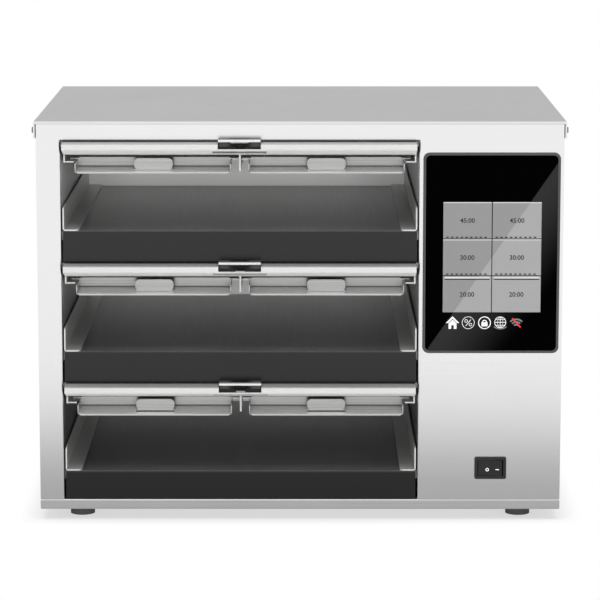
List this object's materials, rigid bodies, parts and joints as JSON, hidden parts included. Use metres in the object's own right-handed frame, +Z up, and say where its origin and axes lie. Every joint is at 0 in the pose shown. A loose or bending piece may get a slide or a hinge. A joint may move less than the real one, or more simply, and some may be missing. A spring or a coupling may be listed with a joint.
{
  "type": "heated holding cabinet",
  "caption": "Countertop heated holding cabinet with stacked open heated shelves under slide-out lid racks, beside a control bay with a touchscreen and a rocker switch.",
  "frame": {"origin": "middle of the footprint, at the underside of the feet", "axes": "+X to the right seen from the front, the front faces -Y, +Z up"},
  "size_m": [0.5822, 0.44, 0.443],
  "materials": {
    "cover_steel": "satin stainless steel",
    "front_steel": "satin stainless steel, grain along the width",
    "base_steel": "satin stainless steel",
    "panel_steel": "satin stainless steel",
    "liner_steel": "dull stainless steel",
    "shelf_dark": "dark hard-anodised or coated",
    "tray_steel": "plain sheet steel",
    "guide_steel": "satin stainless steel",
    "rack_steel": "satin stainless steel",
    "rail_steel": "satin stainless steel, bright",
    "latch_steel": "bright stainless steel",
    "spring_steel": "spring steel",
    "lid_steel": "satin stainless steel",
    "foot_rubber": "matt black",
    "screw_dark": "blackened steel",
    "screw_steel": "plain steel",
    "bezel_grey": "matt dark grey",
    "screen_glass": "glossy, dark grey behind",
    "module_black": "matt black",
    "switch_black": "satin black",
    "rocker_black": "satin black",
    "gland_black": "matt black nylon",
    "insulation_wool": "mineral fibre board",
    "heater_foil": "foil",
    "sensor_steel": "plain steel",
    "board_green": "solder resist",
    "supply_metal": "plain sheet aluminium",
    "sink_metal": "extruded aluminium",
    "relay_black": "matt black",
    "terminal_cream": "matt cream"
  },
  "bodies": {
    "cabinet": {"top_cover": "cover_steel", "front_panel": "front_steel", "base_pan": "base_steel", "side_panel_left": "panel_steel", "side_panel_right": "panel_steel", "back_panel": "panel_steel", "cavity_wall_left": "liner_steel", "cavity_wall_right": "liner_steel", "cavity_back_wall": "liner_steel", "cavity_ceiling": "liner_steel", "shelf_1": "shelf_dark", "shelf_2": "shelf_dark", "shelf_3": "shelf_dark", "shelf_trays": "tray_steel", "shelf_brackets": "tray_steel", "rack_runners": "tray_steel", "pan_guides": "guide_steel", "feet": "foot_rubber", "cover_screws": "screw_dark", "back_screws": "screw_steel", "foot_screws": "screw_steel", "display_bezel": "bezel_grey", "display_glass": "screen_glass", "display_module": "module_black", "switch_housing": "switch_black", "cord_gland": "gland_black", "gland_nut": "gland_black", "insulation_left": "insulation_wool", "insulation_right": "insulation_wool", "insulation_top": "insulation_wool", "insulation_back": "insulation_wool", "foil_heaters": "heater_foil", "temperature_sensors": "sensor_steel", "control_board": "board_green", "power_supply": "supply_metal", "heat_sink": "sink_metal", "relays": "relay_black", "terminal_block": "terminal_cream"},
    "rack_1": {"rack_frame_1": "rack_steel", "rack_rail_1": "rail_steel", "latch_spring_1": "spring_steel"},
    "latch_1_body": {"latch_1": "latch_steel"},
    "lid_1_left_body": {"lid_1_left": "lid_steel"},
    "lid_1_right_body": {"lid_1_right": "lid_steel"},
    "rack_2": {"rack_frame_2": "rack_steel", "rack_rail_2": "rail_steel", "latch_spring_2": "spring_steel"},
    "latch_2_body": {"latch_2": "latch_steel"},
    "lid_2_left_body": {"lid_2_left": "lid_steel"},
    "lid_2_right_body": {"lid_2_right": "lid_steel"},
    "rack_3": {"rack_frame_3": "rack_steel", "rack_rail_3": "rail_steel", "latch_spring_3": "spring_steel"},
    "latch_3_body": {"latch_3": "latch_steel"},
    "lid_3_left_body": {"lid_3_left": "lid_steel"},
    "lid_3_right_body": {"lid_3_right": "lid_steel"},
    "rocker": {"switch_rocker": "rocker_black"}
  },
  "joints": [
    {"name": "rack_1_slide", "type": "slide", "parent": "cabinet", "child": "rack_1", "axis": [0, -1, 0], "range_m": [0, 0.26]},
    {"name": "latch_1_press", "type": "slide", "parent": "rack_1", "child": "latch_1_body", "axis": [0, 0, -1], "range_m": [0, 0.002], "stiffness_N_per_m": 900, "springref_m": -0.002, "deforming": ["latch_spring_1"]},
    {"name": "lid_1_left_slide", "type": "slide", "parent": "rack_1", "child": "lid_1_left_body", "axis": [0, -1, 0], "range_m": [0, 0.2]},
    {"name": "lid_1_right_slide", "type": "slide", "parent": "rack_1", "child": "lid_1_right_body", "axis": [0, -1, 0], "range_m": [0, 0.2]},
    {"name": "rack_2_slide", "type": "slide", "parent": "cabinet", "child": "rack_2", "axis": [0, -1, 0], "range_m": [0, 0.26]},
    {"name": "latch_2_press", "type": "slide", "parent": "rack_2", "child": "latch_2_body", "axis": [0, 0, -1], "range_m": [0, 0.002], "stiffness_N_per_m": 900, "springref_m": -0.002, "deforming": ["latch_spring_2"]},
    {"name": "lid_2_left_slide", "type": "slide", "parent": "rack_2", "child": "lid_2_left_body", "axis": [0, -1, 0], "range_m": [0, 0.2]},
    {"name": "lid_2_right_slide", "type": "slide", "parent": "rack_2", "child": "lid_2_right_body", "axis": [0, -1, 0], "range_m": [0, 0.2]},
    {"name": "rack_3_slide", "type": "slide", "parent": "cabinet", "child": "rack_3", "axis": [0, -1, 0], "range_m": [0, 0.26]},
    {"name": "latch_3_press", "type": "slide", "parent": "rack_3", "child": "latch_3_body", "axis": [0, 0, -1], "range_m": [0, 0.002], "stiffness_N_per_m": 900, "springref_m": -0.002, "deforming": ["latch_spring_3"]},
    {"name": "lid_3_left_slide", "type": "slide", "parent": "rack_3", "child": "lid_3_left_body", "axis": [0, -1, 0], "range_m": [0, 0.2]},
    {"name": "lid_3_right_slide", "type": "slide", "parent": "rack_3", "child": "lid_3_right_body", "axis": [0, -1, 0], "range_m": [0, 0.2]},
    {"name": "power_rocker", "type": "hinge", "parent": "cabinet", "child": "rocker", "pos_m": [0.21, -0.198, 0.05905], "axis": [0, 0, 1], "range_deg": [0, 14]}
  ]
}
